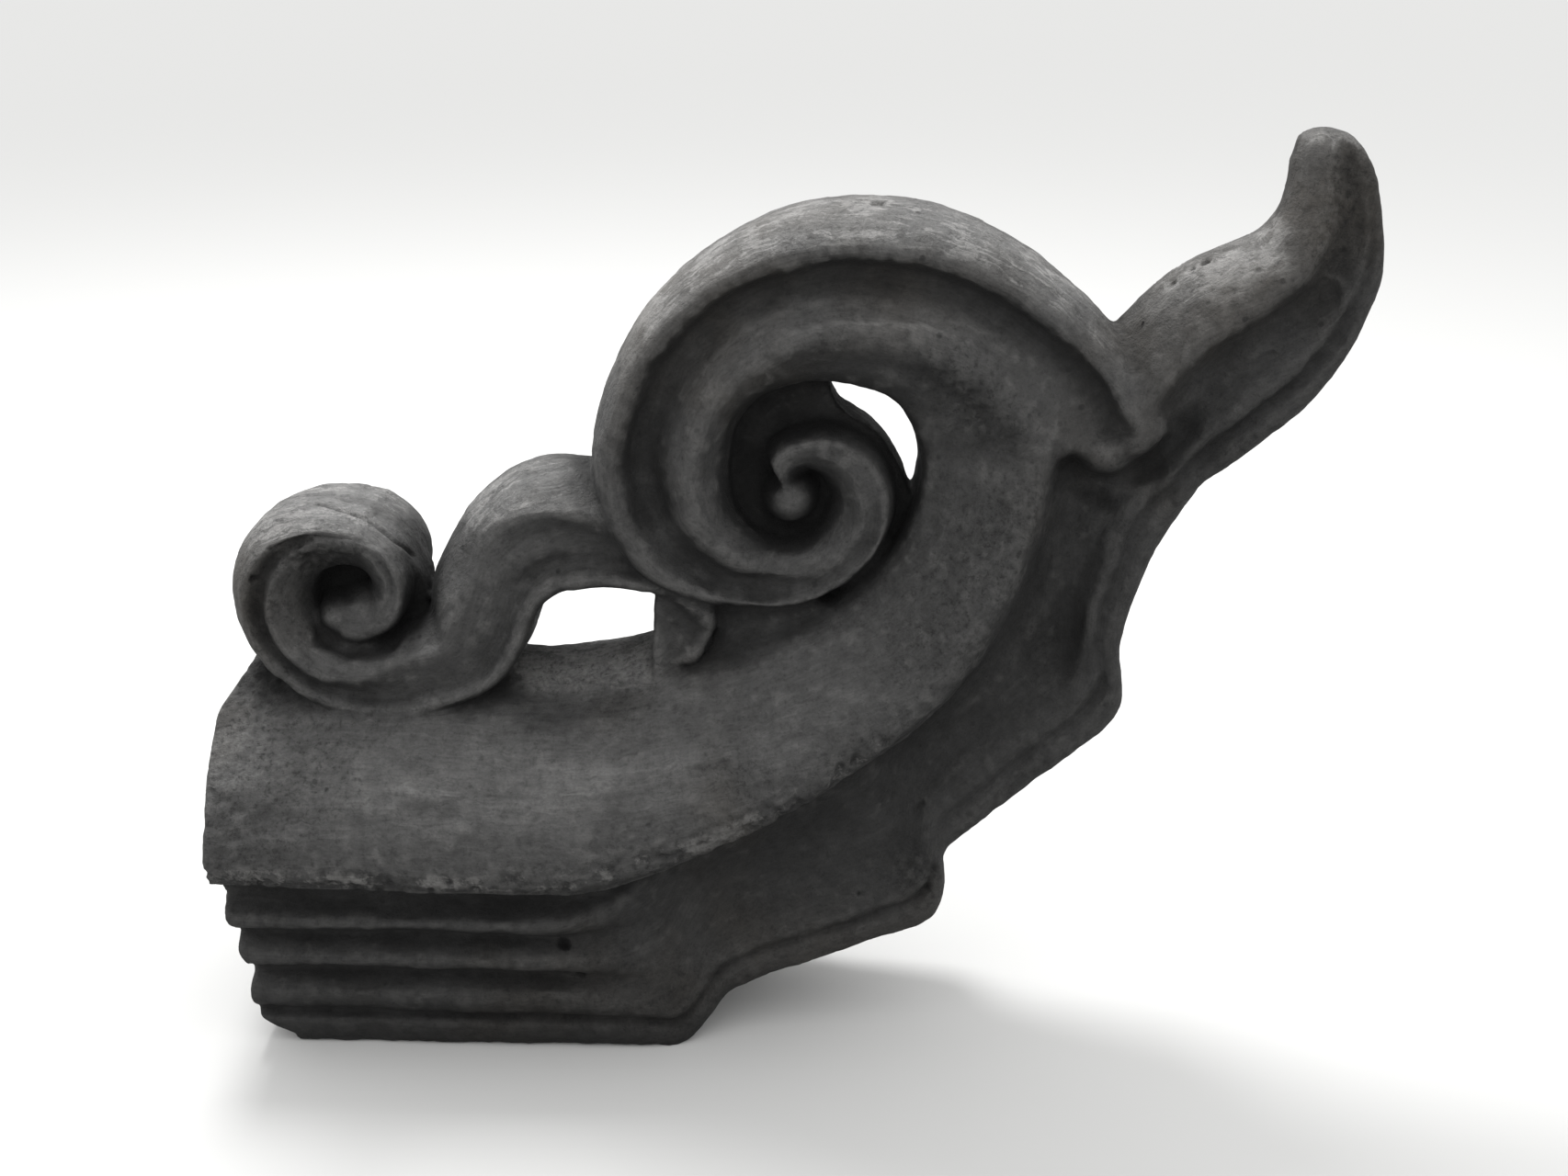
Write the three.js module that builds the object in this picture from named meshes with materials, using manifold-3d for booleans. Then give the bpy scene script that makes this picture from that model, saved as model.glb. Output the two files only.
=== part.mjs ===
// Roof ridge ornament: the upturned end of a ridge in fired grey clay, one solid piece.
// A reeded foot carries a rounded ridge body, which sweeps up and curls over into a large scroll.
// A horn springs from the scroll's shoulder, a scalloped flange runs below the body, and a smaller
// scroll on an S-shaped band stands on the body's crest.
// Millimetres, +Z up, +X towards the horn. The carved front faces -Y and the back mirrors it.
// The origin is on the middle plane of the foot's flat underside.

import * as THREE from 'three';
import { mergeVertices } from 'three/addons/utils/BufferGeometryUtils.js';
import Module from 'manifold-3d';

const wasm = await Module();
wasm.setup();

// Length and height of the free form, and those that the guide points below are drawn at
const overallLength = 604;
const overallHeight = 500;
const drawnLength = 604;
const drawnHeight = 500;

// Thickness of each part, measured across the ornament
const bodyWidth = 180;
const crestWidth = 40;
const footWidth = 136;
const flangeWidth = 66;
const scrollWidth = 84;
const coilWidth = 74;
const ribbonWidth = 92;
const hornWidth = 66;
const webWidth = 28;
const strutWidth = 70;

// Carving depths
const rimGrooveDepth = 9;
const bandGrooveDepth = 5;
const reedDepth = 7;
const lipGrooveDepth = 4;
const channelDepth = 8;
const hornCoveDepth = 8;
const pocketDepth = 12;

const stretchX = overallLength / drawnLength;
const stretchZ = overallHeight / drawnHeight;

// A value that runs smoothly through its keys [place, value]
function through(...keys) {
  const last = keys.length - 1;
  const slope = (i) => {
    const [before, after] = [keys[Math.max(i - 1, 0)], keys[Math.min(i + 1, last)]];
    return (after[1] - before[1]) / (after[0] - before[0]);
  };
  return (place) => {
    const at = Math.min(Math.max(place, keys[0][0]), keys[last][0]);
    const k = Math.max(keys.findIndex(([key]) => key >= at), 1) - 1;
    const [[start, from], [end, to]] = [keys[k], keys[k + 1]];
    const span = end - start;
    const t = (at - start) / span;
    const rise = (to - from) * t * t * (3 - 2 * t);
    const leave = t * (1 - t) * (1 - t) * span * slope(k);
    const arrive = t * t * (t - 1) * span * slope(k + 1);
    return from + rise + leave + arrive;
  };
}

const blend = (from, to, share) => from + (to - from) * share;

const mid = ([ax, az], [bx, bz], share) => [blend(ax, bx, share), blend(az, bz, share)];

// A smooth line in the side view through its points [x, z], read by the number of the point
function sideLine(...points) {
  const lineX = through(...points.map(([x], i) => [i, x]));
  const lineZ = through(...points.map(([, z], i) => [i, z]));
  return (place) => [lineX(place), lineZ(place)];
}

// A solid from faces given by the numbers of their points, turned inside out where needed
function solidOf(points, faces) {
  const corner = (i) => new THREE.Vector3(points[i][0] * stretchX, points[i][1], points[i][2] * stretchZ);
  let volume = 0;
  for (const [a, b, c] of faces) volume += corner(a).dot(corner(b).cross(corner(c)));
  const outward = volume > 0 ? faces : faces.map(([a, b, c]) => [a, c, b]);
  const mesh = new wasm.Mesh({
    numProp: 3,
    vertProperties: new Float32Array(points.flatMap((_, i) => corner(i).toArray())),
    triVerts: new Uint32Array(outward.flat()),
  });
  return new wasm.Manifold(mesh);
}

// A solid through a row of half sections. A half section is a list of [[x, z], y] whose first and
// last points lie on the middle plane, and it is mirrored to the back.
function loft(halves) {
  const size = 2 * halves[0].length - 2;
  const points = [];
  for (const half of halves) {
    const front = half.map(([[x, z], y]) => [x, -y, z]);
    const back = front.slice(1, -1).reverse().map(([x, y, z]) => [x, -y, z]);
    points.push(...front, ...back);
  }
  const faces = [];
  for (let ring = 0; ring < halves.length - 1; ring += 1) {
    for (let p = 0; p < size; p += 1) {
      const q = (p + 1) % size;
      const [near, far] = [ring * size, (ring + 1) * size];
      faces.push([near + p, near + q, far + q], [near + p, far + q, far + p]);
    }
  }
  const lastRing = (halves.length - 1) * size;
  for (let p = 0; p < size / 2; p += 1) {
    const [a, b, c, d] = [p, p + 1, (size - p - 1) % size, (size - p) % size];
    const cap = [[a, c, b], [a, d, c]].filter(([i, j, k]) => i !== j && j !== k && k !== i);
    faces.push(...cap, ...cap.map(([i, j, k]) => [lastRing + i, lastRing + k, lastRing + j]));
  }
  return solidOf(points, faces);
}

// The ridge body, from the flat joint face at the left until it turns into the scroll
function ridgeBody() {
  const crest = sideLine([-132.5, 203], [-60, 212], [10, 209], [52, 208], [84, 212.5], [112, 221], [148, 230],
    [190, 247], [216, 267], [235, 289], [244, 307], [248, 323], [249, 336], [247, 350]);
  const ledge = sideLine([-132.5, 114], [-60, 114], [10, 114], [62, 114], [101, 121], [151, 141], [199, 166],
    [247, 198], [274, 229], [294, 266], [304, 295], [310, 324], [308, 345], [301, 362]);
  const narrowing = through([0, 0.96], [1, 1], [3, 1], [5, 0.86], [7, 0.68], [9, 0.57], [10, 0.53],
    [11, 0.495], [12, 0.46], [13, 0.405]);
  const crestSpread = through([0, 1], [5, 1], [9, 1.3], [12, 1.5], [13, 1.2]);
  const softening = through([0, 0], [5, 0], [9, 1], [13, 1]);
  const halves = [];
  for (let place = 0; place <= 13; place += place < 6 ? 1 : 0.5) {
    const [top, edge] = [crest(place), ledge(place)];
    const wide = (bodyWidth / 2) * narrowing(place);
    const narrow = (crestWidth / 2) * crestSpread(place);
    const soft = softening(place);
    const face = [0, 0.12, 0.28, 0.48, 0.72];
    halves.push([
      [mid(top, edge, -0.05), 0],
      [mid(top, edge, -0.035), 0.6 * narrow],
      ...face.map((share) => [mid(top, edge, share), blend(narrow, wide, 1 - (1 - share) ** 2)]),
      [mid(top, edge, 0.9), wide - 0.6 * soft],
      [edge, wide - 1 - 5 * soft],
      [mid(top, edge, 1.06), wide - 8 - 7 * soft],
      [mid(top, edge, 1.1), 0],
    ]);
  }
  return loft(halves);
}

// The reeded foot and the scalloped flange that it turns into below the body
function footAndFlange() {
  const inner = sideLine([-128, 106], [-106, 106], [-86, 106], [40, 106], [70, 108], [88, 111], [101, 115],
    [113, 120], [127, 126], [151, 137], [175, 149], [199, 162], [213, 171], [221, 177], [228, 183],
    [236, 190], [244, 197], [256, 209], [269, 224], [280, 240], [288, 255], [292, 264], [295, 274],
    [298, 284], [301, 294], [304, 306], [306, 318], [306, 332], [304, 345]);
  const outer = sideLine([-120, 0], [-106, 0], [-86, 0], [40, 0], [80, 0], [102, 0], [120.5, 0],
    [133.5, 13.5], [145, 27.5], [170.5, 38.5], [199, 47.5], [229, 58], [252, 67], [262, 77], [265, 92],
    [264, 108], [272.5, 119], [290, 135], [311, 152], [330.5, 168.5], [347.5, 183.5], [356, 197],
    [356, 211], [353.5, 227], [355, 242.5], [360.5, 262.5], [369, 285], [380.5, 306], [392, 323.5]);
  const halfWidth = through([0, footWidth / 2], [5, footWidth / 2], [9, 0.76 * flangeWidth],
    [14, 0.62 * flangeWidth], [21, flangeWidth / 2], [26, flangeWidth / 2], [28, 0.4 * flangeWidth]);
  const reeded = through([0, 1], [3, 1], [6, 0.3], [8, 0]);
  const halves = [];
  for (let place = 0; place <= 28; place += 1) {
    const [root, rim] = [inner(place), outer(place)];
    const reach = Math.hypot(rim[0] - root[0], rim[1] - root[1]);
    const half = halfWidth(place);
    const share = reeded(place);
    const reed = [
      [0, -8], [3, -3], [9, 0], [17, 1], [21, -4], [27, 2], [37, 5], [48, 5 - reedDepth], [57, 8], [64, 9],
      [74, 9 - reedDepth], [83, 12], [89, 13], [97, 12 - reedDepth], [118, 11 - reedDepth],
    ];
    const cove = (part) => 26 + (reach - 26) * part;
    const plain = [
      [0, -7], [2, -3], [6, -0.5], [13, 0], [17, -lipGrooveDepth], [22, 1], [26, 0], [cove(0.12), -3],
      [cove(0.28), -0.8 * channelDepth], [cove(0.44), -channelDepth], [cove(0.6), -channelDepth],
      [cove(0.76), -0.7 * channelDepth], [cove(0.9), -0.2 * channelDepth], [cove(1.02), 0], [cove(1.2), 0],
    ];
    const point = (i) => {
      const away = blend(plain[i][0], reed[i][0], share);
      return [mid(rim, root, away / reach), half + blend(plain[i][1], reed[i][1], share)];
    };
    const front = reed.map((_, i) => point(i));
    halves.push([[rim, 0], ...front, [mid(rim, root, 1.25), 0]]);
  }
  return loft(halves);
}

const scrollCentre = [178, 311];

const polar = ([x, z], radius, degrees) => {
  const angle = THREE.MathUtils.degToRad(degrees);
  return [x + radius * Math.cos(angle), z + radius * Math.sin(angle)];
};

// The big scroll: a band with a rolled rim, a groove and a ridge, wound inwards into a coil
const rimRadius = through([8, 187], [13, 182], [27, 169], [46, 155], [73, 138.5], [92, 128], [115, 115.5],
  [144, 103], [173, 96], [206, 83], [223, 71], [243, 60.5], [266, 55.5], [300, 52], [343, 51.5],
  [380, 48.5], [418, 41.5], [437, 35.5], [462, 28.5], [480, 22]);
const innerRadius = through([8, 71], [29, 76], [43, 77], [53, 74], [73, 67.5], [89, 63], [108, 57],
  [125, 50], [144, 41], [174, 33.5], [202, 30], [234, 27], [266, 25.5], [302, 24], [337, 23],
  [368, 23.5], [399, 22], [432, 17], [456, 8], [480, 3]);
const grooveInset = through([8, 7], [33, 9], [52, 12], [92, 13], [147, 16], [181, 20], [206, 17], [230, 8],
  [266, 6], [343, 5], [400, 5], [480, 4]);
const ridgeRadius = through([8, 132.5], [28, 123], [52, 109], [76, 94.5], [106, 77.5], [143, 60], [184, 50],
  [229, 42], [286, 39], [340, 38.5], [400, 34], [437, 28], [462, 19], [480, 13]);

function scrollSection(angle) {
  const at = (radius) => polar(scrollCentre, radius, angle);
  const curled = through([8, 0], [200, 0], [330, 1], [580, 1])(angle);
  const half = blend(scrollWidth, coilWidth, curled) / 2;
  const crown = through([8, 22], [36, 18.5], [56, 21], [72, 20.5], [92, 17], [150, 10.5], [210, 8], [300, 4],
    [380, 6])(angle);
  const shallower = through([8, 1], [200, 1], [300, 0.55], [343, 0.3], [400, 0], [580, 0]);
  const groove = rimGrooveDepth * shallower(angle);
  const fall = through([8, 10], [90, 12], [230, 14], [300, 12], [400, 10], [580, 2])(angle);
  const sunk = through([8, 4], [32, 0], [480, 0])(angle);
  const [rim, inner, ridge] = [rimRadius(angle), innerRadius(angle), ridgeRadius(angle)];
  const trough = rim - grooveInset(angle);
  return [
    [at(rim + crown), 0],
    [at(rim + 0.85 * crown), 0.38 * half],
    [at(rim + 0.5 * crown), 0.7 * half],
    [at(rim + 0.05 * crown), 0.92 * half],
    [at(blend(rim, trough, 0.3)), half],
    [at(blend(rim, trough, 0.7)), half - 0.4 * groove],
    [at(trough), half - groove],
    [at(blend(trough, ridge, 0.4)), half - 0.55 * groove],
    [at(ridge), half - sunk],
    [at(blend(ridge, inner, 0.35)), half - 0.25 * fall - sunk],
    [at(blend(ridge, inner, 0.75)), half - 0.65 * fall - sunk],
    [at(inner), half - 1.3 * fall - sunk],
    [at(inner - 2), 0.5 * half],
    [at(inner - 3), 0],
  ];
}

function scrollTurn(start, end, step) {
  const halves = [];
  for (let angle = start; angle < end; angle += step) halves.push(scrollSection(angle));
  halves.push(scrollSection(end));
  return loft(halves);
}

// The small scroll and its band, which rises from behind the big scroll and dips in an S
const smallCentre = [-59, 249];

function ribbon() {
  const fromCoil = (keys) => keys.map(([angle, radius]) => polar(smallCentre, radius, angle));
  const outerEdge = sideLine([135, 254], [118, 258], [104, 261], [90, 263], [74, 264], [58, 262], [48, 256],
    [41, 245], [36, 231], [28, 217], [14, 205], ...fromCoil([[-50, 71], [-66, 63], [-82, 58], [-98, 55],
      [-114, 53], [-130, 51.5], [-146, 52], [-162, 53.5], [-180, 54.5], [-200, 54.5], [-220, 53.5],
      [-240, 51.5], [-260, 48.5], [-284, 45.5]]));
  const innerEdge = sideLine([128, 288], [112, 295], [98, 300], [85, 304], [70, 307], [51, 307], [33, 300],
    [17, 285], [6, 266], [-3, 247], [-9, 233], ...fromCoil([[-34, 36], [-56, 27], [-78, 21], [-98, 18.5],
      [-114, 18], [-130, 17.5], [-146, 17.5], [-162, 18], [-180, 19], [-200, 20.5], [-220, 22.5], [-240, 24],
      [-260, 24.5], [-284, 24.5]]));
  const ridgeInset = through([0, 3], [8, 3], [11, 5], [13, 14], [15, 18], [25, 17]);
  const innerCrown = through([0, 17], [5, 18], [7, 19], [9, 18], [10, 15], [11, 9], [12, 4], [25, 2]);
  const outerCrown = through([0, 1], [10, 2], [13, 6], [16, 8], [19, 11], [21, 11], [23, 5], [25, 2]);
  const fall = through([0, 1], [9, 2], [12, 8], [15, 12], [25, 12]);
  const halfAt = through([0, 0.74], [4, 0.84], [8, 0.9], [12, 0.98], [18, 0.96], [25, 0.9]);
  const halves = [];
  for (let place = 0; place <= 24; place += place >= 5 && place < 10 ? 0.5 : 1) {
    halves.push(ribbonSection(outerEdge(place), innerEdge(place), {
      half: (ribbonWidth / 2) * halfAt(place),
      ridgeInset: ridgeInset(place),
      innerCrown: innerCrown(place),
      outerCrown: outerCrown(place),
      fall: fall(place),
      groove: bandGrooveDepth,
    }));
  }
  return loft(halves);
}

function ribbonSection(outer, inner, { half, ridgeInset, innerCrown, outerCrown, fall, groove }) {
  const width = Math.hypot(outer[0] - inner[0], outer[1] - inner[1]);
  const at = (inset) => mid(outer, inner, inset / width);
  const ridge = width - ridgeInset;
  return [
    [at(-outerCrown), 0],
    [at(-0.7 * outerCrown), 0.55 * half],
    [at(0), 0.9 * half],
    [at(0.1 * width), half],
    [at(0.2 * width), half - 0.5 * groove],
    [at(0.28 * width), half - groove],
    [at(blend(0.28 * width, ridge, 0.6)), half - 0.4 * groove],
    [at(ridge), half],
    [at(blend(ridge, width, 0.6)), half - 0.5 * fall],
    [at(width + 0.15 * innerCrown), 0.92 * half - fall],
    [at(width + 0.65 * innerCrown), 0.58 * half],
    [at(width + innerCrown), 0],
  ];
}

function smallCoil() {
  const outer = through([-466, 15], [-411, 21], [-371, 28.5], [-345, 34.5],
    [-323, 39], [-300, 43], [-276, 46.8]);
  const inner = through([-466, 4.5], [-440, 5.5], [-400, 9], [-360, 14], [-330, 18.5],
    [-300, 22.5], [-276, 24.5]);
  const halves = [];
  for (let turned = 0; turned <= 1; turned += 0.125) {
    const angle = -276 - 190 * turned;
    const width = outer(angle) - inner(angle);
    const [outside, inside] = [outer(angle), inner(angle)].map((radius) => polar(smallCentre, radius, angle));
    halves.push(ribbonSection(outside, inside, {
      half: (ribbonWidth / 2) * blend(0.875, 0.82, turned),
      ridgeInset: blend(17, 0.4 * width, Math.min(1, 2.5 * turned)),
      innerCrown: 2,
      outerCrown: 2,
      fall: blend(12, 5, turned),
      groove: blend(bandGrooveDepth, 0.5, Math.min(1, 2 * turned)),
    }));
  }
  return loft(halves);
}

// The horn, round over its top, with a cove down each side and a rim along its lower edge
function horn() {
  const top = sideLine([316, 366], [338, 394], [358.5, 415.5], [379, 431.5], [398.5, 441], [413, 448.5],
    [420.5, 459.5], [423, 473], [424.5, 485], [427, 494.5], [433, 499.5], [441, 500]);
  const edge = sideLine([338, 338], [355, 354], [370, 380], [384, 394], [401, 407], [420, 420], [436, 435],
    [442, 453], [444, 471], [446, 483], [447, 492], [446, 497]);
  const lower = sideLine([374, 300], [389.5, 320.5], [403.5, 332.5], [419.5, 345.5], [435.5, 359.5],
    [452, 379], [464.5, 403.5], [471.5, 432], [468.5, 461.5], [461.5, 482], [454.5, 493.5], [448, 498.5]);
  const slimming = through([0, 0.9], [1, 1], [4, 0.95], [6, 0.78], [8, 0.54], [10, 0.27], [11, 0.12]);
  const halves = [];
  for (let place = 0; place <= 11; place += place < 6 ? 1 : 0.5) {
    const [crown, brow, rim] = [top(place), edge(place), lower(place)];
    const half = (hornWidth / 2) * slimming(place);
    const cove = hornCoveDepth * Math.min(1, slimming(place) * 1.2);
    halves.push([
      [crown, 0],
      [mid(crown, brow, 0.12), 0.36 * half],
      [mid(crown, brow, 0.38), 0.68 * half],
      [mid(crown, brow, 0.72), 0.9 * half],
      [brow, half],
      [mid(brow, rim, 0.1), half - 0.6 * cove],
      [mid(brow, rim, 0.24), half - cove],
      [mid(brow, rim, 0.44), half - 0.8 * cove],
      [mid(brow, rim, 0.64), half - 0.1 * cove],
      [mid(brow, rim, 0.74), half - 0.45 * cove],
      [mid(brow, rim, 0.86), half],
      [mid(brow, rim, 0.97), half - 4 * slimming(place)],
      [rim, 0.5 * half],
      [rim, 0],
    ]);
  }
  return loft(halves);
}

// A flat plate across the middle plane, from an outline in the side view
function plate(outline, width, rounding = 0) {
  const shape = new THREE.Shape(outline.map(([x, z]) => new THREE.Vector2(x * stretchX, z * stretchZ)));
  const slab = new THREE.ExtrudeGeometry(shape, {
    depth: width - 2 * rounding,
    bevelEnabled: rounding > 0,
    bevelThickness: rounding,
    bevelSize: rounding,
    bevelOffset: -rounding,
    bevelSegments: 2,
  });
  slab.rotateX(Math.PI / 2);
  slab.translate(0, width / 2 - rounding, 0);
  return solidFromGeometry(slab);
}

function solidFromGeometry(geometry) {
  const bare = new THREE.BufferGeometry();
  bare.setAttribute('position', geometry.getAttribute('position'));
  if (geometry.index) bare.setIndex(geometry.index);
  const merged = mergeVertices(bare, 1e-4);
  const mesh = new wasm.Mesh({
    numProp: 3,
    vertProperties: new Float32Array(merged.getAttribute('position').array),
    triVerts: new Uint32Array(merged.index.array),
  });
  return new wasm.Manifold(mesh);
}

const arc = (centre, radius, start, end, step) => {
  const points = [];
  for (let angle = start; angle <= end; angle += step) points.push(polar(centre, radius, angle));
  return points;
};

// The webs that close the hollows: below the coil, deep inside the scroll and inside the small scroll
function webs() {
  const gapRadius = through([3, 61], [17, 58], [42, 54], [56, 52], [67, 56], [78, 74]);
  const crescent = [3, 17, 30, 42, 56, 67, 78].map((angle) => polar(scrollCentre, gapRadius(angle), angle));
  const scrollFloor = plate([...arc(scrollCentre, 68, 196, 352, 12), ...crescent,
    ...arc(scrollCentre, 62, 92, 186, 16)], webWidth);
  const smallFloor = plate(arc(smallCentre, 40, 0, 345, 24), webWidth);
  return [scrollFloor, smallFloor];
}

// The strut beside the opening under the band: a hooked lug round a small pocket on each face
function strut() {
  const lug = plate([[105, 210], [104.5, 226], [105.5, 246], [108, 268], [124, 274], [136, 262], [139, 247],
    [134, 234], [128, 222]], strutWidth, 5);
  const spread = plate([[112, 205], [110, 262], [150, 268], [200, 252], [196, 236], [150, 220]],
    0.72 * strutWidth);
  let body = lug.add(spread);
  for (const side of [-1, 1]) {
    const hollow = new THREE.SphereGeometry(1, 10, 6);
    hollow.scale(9 * stretchX, pocketDepth, 8 * stretchZ);
    hollow.translate(119 * stretchX, (side * strutWidth) / 2, 249 * stretchZ);
    body = body.subtract(solidFromGeometry(hollow));
  }
  return body;
}

// The button that ends a coil
function knob([x, z], radius, width) {
  const half = width / 2;
  const front = [[0, half], [0.4 * radius, half - 0.5], [0.75 * radius, half - 3], [0.95 * radius, half - 6],
    [radius, half - 10]];
  const profile = [...front.map(([away, height]) => [away, -height]), ...front.toReversed()];
  const turned = profile.map(([away, height]) => new THREE.Vector2(away, height));
  const button = new THREE.LatheGeometry(turned, 12);
  button.scale(stretchX, 1, stretchZ);
  button.translate(x * stretchX, 0, z * stretchZ);
  return solidFromGeometry(button);
}

// The rounded end of the rolled rim, where the scroll, the flange and the horn meet
function rimEnd() {
  const ball = new THREE.SphereGeometry(1, 10, 8);
  ball.rotateX(Math.PI / 2);
  ball.scale(19 * stretchX, scrollWidth / 2 + 1, 12 * stretchZ);
  ball.translate(344 * stretchX, 0, 344 * stretchZ);
  return solidFromGeometry(ball);
}

// What has broken off the foot's lower left corner
function brokenCorner() {
  const outline = [[-130, -5], [-95, -5], [-96, 3], [-106, 8], [-118, 20], [-130, 26]];
  return plate(outline, footWidth + 40);
}

function ornament() {
  let body = ridgeBody();
  const bigScroll = [scrollTurn(11, 251, 10), scrollTurn(251, 476, 18), knob(scrollCentre, 17, coilWidth)];
  const smallScroll = [ribbon(), smallCoil(), knob(smallCentre, 12.5, 0.84 * ribbonWidth)];
  const parts = [footAndFlange(), ...bigScroll, ...smallScroll, horn(), ...webs(), strut(), rimEnd()];
  for (const part of parts) body = body.add(part);
  body = body.subtract(brokenCorner());
  const { vertProperties, triVerts } = body.getMesh();
  const geometry = new THREE.BufferGeometry();
  geometry.setAttribute('position', new THREE.BufferAttribute(vertProperties, 3));
  geometry.setIndex(new THREE.BufferAttribute(triVerts, 1));
  geometry.computeVertexNormals();
  return geometry;
}

const clay = new THREE.MeshStandardMaterial({ color: 0x4a4a49, roughness: 0.92, metalness: 0 });

const ridgeOrnament = new THREE.Group();
const piece = new THREE.Mesh(ornament(), clay);
piece.name = 'ridge_ornament';
ridgeOrnament.add(piece);

export default ridgeOrnament;
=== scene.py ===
import math
import bpy
import numpy as np
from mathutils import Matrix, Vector
from mathutils.bvhtree import BVHTree
from mathutils.kdtree import KDTree


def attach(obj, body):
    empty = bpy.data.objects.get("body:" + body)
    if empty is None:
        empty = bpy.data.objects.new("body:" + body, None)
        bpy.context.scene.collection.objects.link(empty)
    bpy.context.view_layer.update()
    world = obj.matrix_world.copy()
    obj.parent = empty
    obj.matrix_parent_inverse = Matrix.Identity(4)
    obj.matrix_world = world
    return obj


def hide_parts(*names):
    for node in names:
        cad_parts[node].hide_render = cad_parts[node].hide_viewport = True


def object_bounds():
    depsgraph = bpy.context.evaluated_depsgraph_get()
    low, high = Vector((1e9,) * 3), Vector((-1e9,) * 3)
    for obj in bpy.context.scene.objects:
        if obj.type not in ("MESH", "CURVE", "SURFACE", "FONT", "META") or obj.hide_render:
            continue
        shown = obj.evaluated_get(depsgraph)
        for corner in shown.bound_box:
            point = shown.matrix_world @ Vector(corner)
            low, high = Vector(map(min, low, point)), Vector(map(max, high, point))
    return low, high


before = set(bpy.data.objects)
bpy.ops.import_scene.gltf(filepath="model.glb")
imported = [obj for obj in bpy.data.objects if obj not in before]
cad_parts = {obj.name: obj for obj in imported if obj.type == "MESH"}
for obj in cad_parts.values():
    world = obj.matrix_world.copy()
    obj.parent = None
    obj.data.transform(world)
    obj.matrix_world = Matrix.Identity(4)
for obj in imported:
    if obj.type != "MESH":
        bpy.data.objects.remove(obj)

# Roof ridge ornament in weathered grey clay: the carved forms are lofted finely, fused into one skin,
# then worked over like soft clay. Side-view points are in millimetres, [x, z], as in the solid.
cadLow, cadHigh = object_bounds()
boxLow = np.array(cadLow)
boxHigh = np.array(cadHigh)


# camera at the photo's angle
shot = {
    "azimuth": 2.0,
    "elevation": 21.0,
    "distance": 1.0,
    "target": (0.174, 0.0, 0.252),
    "lens": 36 * 2000 / 1706,  # focal length in pixels over the picture's width
}


def makeCamera():
    azimuth, elevation = math.radians(shot["azimuth"]), math.radians(shot["elevation"])
    back = Vector((math.sin(azimuth) * math.cos(elevation), -math.cos(azimuth) * math.cos(elevation),
                   math.sin(elevation)))
    camera = bpy.data.objects.new("camera", bpy.data.cameras.new("camera"))
    bpy.context.scene.collection.objects.link(camera)
    camera.location = Vector(shot["target"]) + back * shot["distance"]
    camera.rotation_euler = (-back).to_track_quat("-Z", "Y").to_euler()
    camera.data.sensor_width = 36
    camera.data.lens = shot["lens"]
    bpy.context.scene.camera = camera


makeCamera()
print("camera done")


# smooth lines and lofts
def through(*keys):  # a value that runs smoothly through its keys [place, value]
    places = np.array([key[0] for key in keys], float)
    values = np.array([key[1] for key in keys], float)
    before = np.maximum(np.arange(len(keys)) - 1, 0)
    after = np.minimum(np.arange(len(keys)) + 1, len(keys) - 1)
    slopes = (values[after] - values[before]) / (places[after] - places[before])

    def read(place):
        at = np.clip(place, places[0], places[-1])
        k = np.clip(np.searchsorted(places, at) - 1, 0, len(keys) - 2)
        span = places[k + 1] - places[k]
        t = (at - places[k]) / span
        rise = (values[k + 1] - values[k]) * t * t * (3 - 2 * t)
        return (values[k] + rise + t * (1 - t) ** 2 * span * slopes[k]
                + t * t * (t - 1) * span * slopes[k + 1])
    return read


def sideLine(*points):
    lineX = through(*[(i, p[0]) for i, p in enumerate(points)])
    lineZ = through(*[(i, p[1]) for i, p in enumerate(points)])
    return lambda place: np.array([lineX(place), lineZ(place)])


def blend(low, high, share):
    return low + (high - low) * share


def polar(centre, radius, degrees):
    angle = math.radians(degrees)
    return np.array([centre[0] + radius * math.cos(angle), centre[1] + radius * math.sin(angle)])


def smoothHalf(knots, steps):  # a half section [x, z, y] rounded through its knots
    mirror = np.array([1, 1, -1])
    padded = np.vstack([knots[1] * mirror, knots, knots[-2] * mirror])
    rounded = []
    for k in range(1, len(padded) - 2):
        p0, p1, p2, p3 = padded[k - 1:k + 3]
        t = (np.arange(steps) / steps)[:, None]
        rounded.append(0.5 * (2 * p1 + (p2 - p0) * t + (2 * p0 - 5 * p1 + 4 * p2 - p3) * t ** 2
                              + (3 * p1 - p0 - 3 * p2 + p3) * t ** 3))
    rounded.append(knots[-1:])
    return np.vstack(rounded)


skin = {"points": [], "faces": [], "along": [], "across": [], "count": 0}
backShift = 400  # mm across, so that the back has other streaks than the front


def addSolid(points, faces, along, across):
    skin["points"].append(points)
    skin["faces"] += [[skin["count"] + i for i in face] for face in faces]
    skin["along"].append(along)
    skin["across"].append(across)
    skin["count"] += len(points)


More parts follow.
